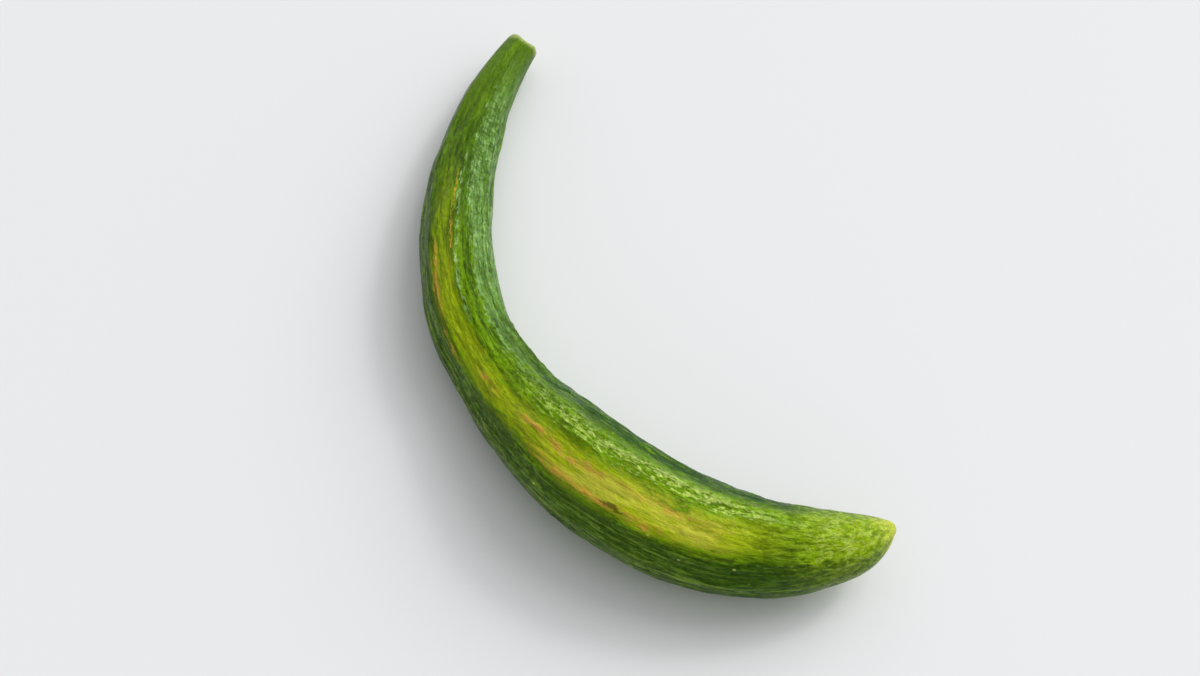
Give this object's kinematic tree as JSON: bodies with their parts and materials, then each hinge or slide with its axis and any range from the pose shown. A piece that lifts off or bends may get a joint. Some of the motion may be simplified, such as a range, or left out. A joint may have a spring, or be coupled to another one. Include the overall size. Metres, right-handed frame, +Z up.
{
  "type": "cucumber",
  "caption": "Long, strongly curved green cucumber, whole, with a slim neck, a cut stem end, lengthwise ridges and a beaked blossom end, lying on a level surface.",
  "frame": {"origin": "on the level surface that the fruit lies on, under the middle of its box", "axes": "+Z up from the surface; +Y the longest way across the curved fruit, towards its stem end; +X towards its blossom end"},
  "size_m": [0.1894, 0.2726, 0.0451],
  "materials": {
    "skin": "waxy cucumber skin, half gloss, dark green with a yellow-green band along the upper side, fine lengthwise wrinkles and pale flecks"
  },
  "bodies": {
    "root": {"cucumber": "skin"}
  },
  "joints": []
}
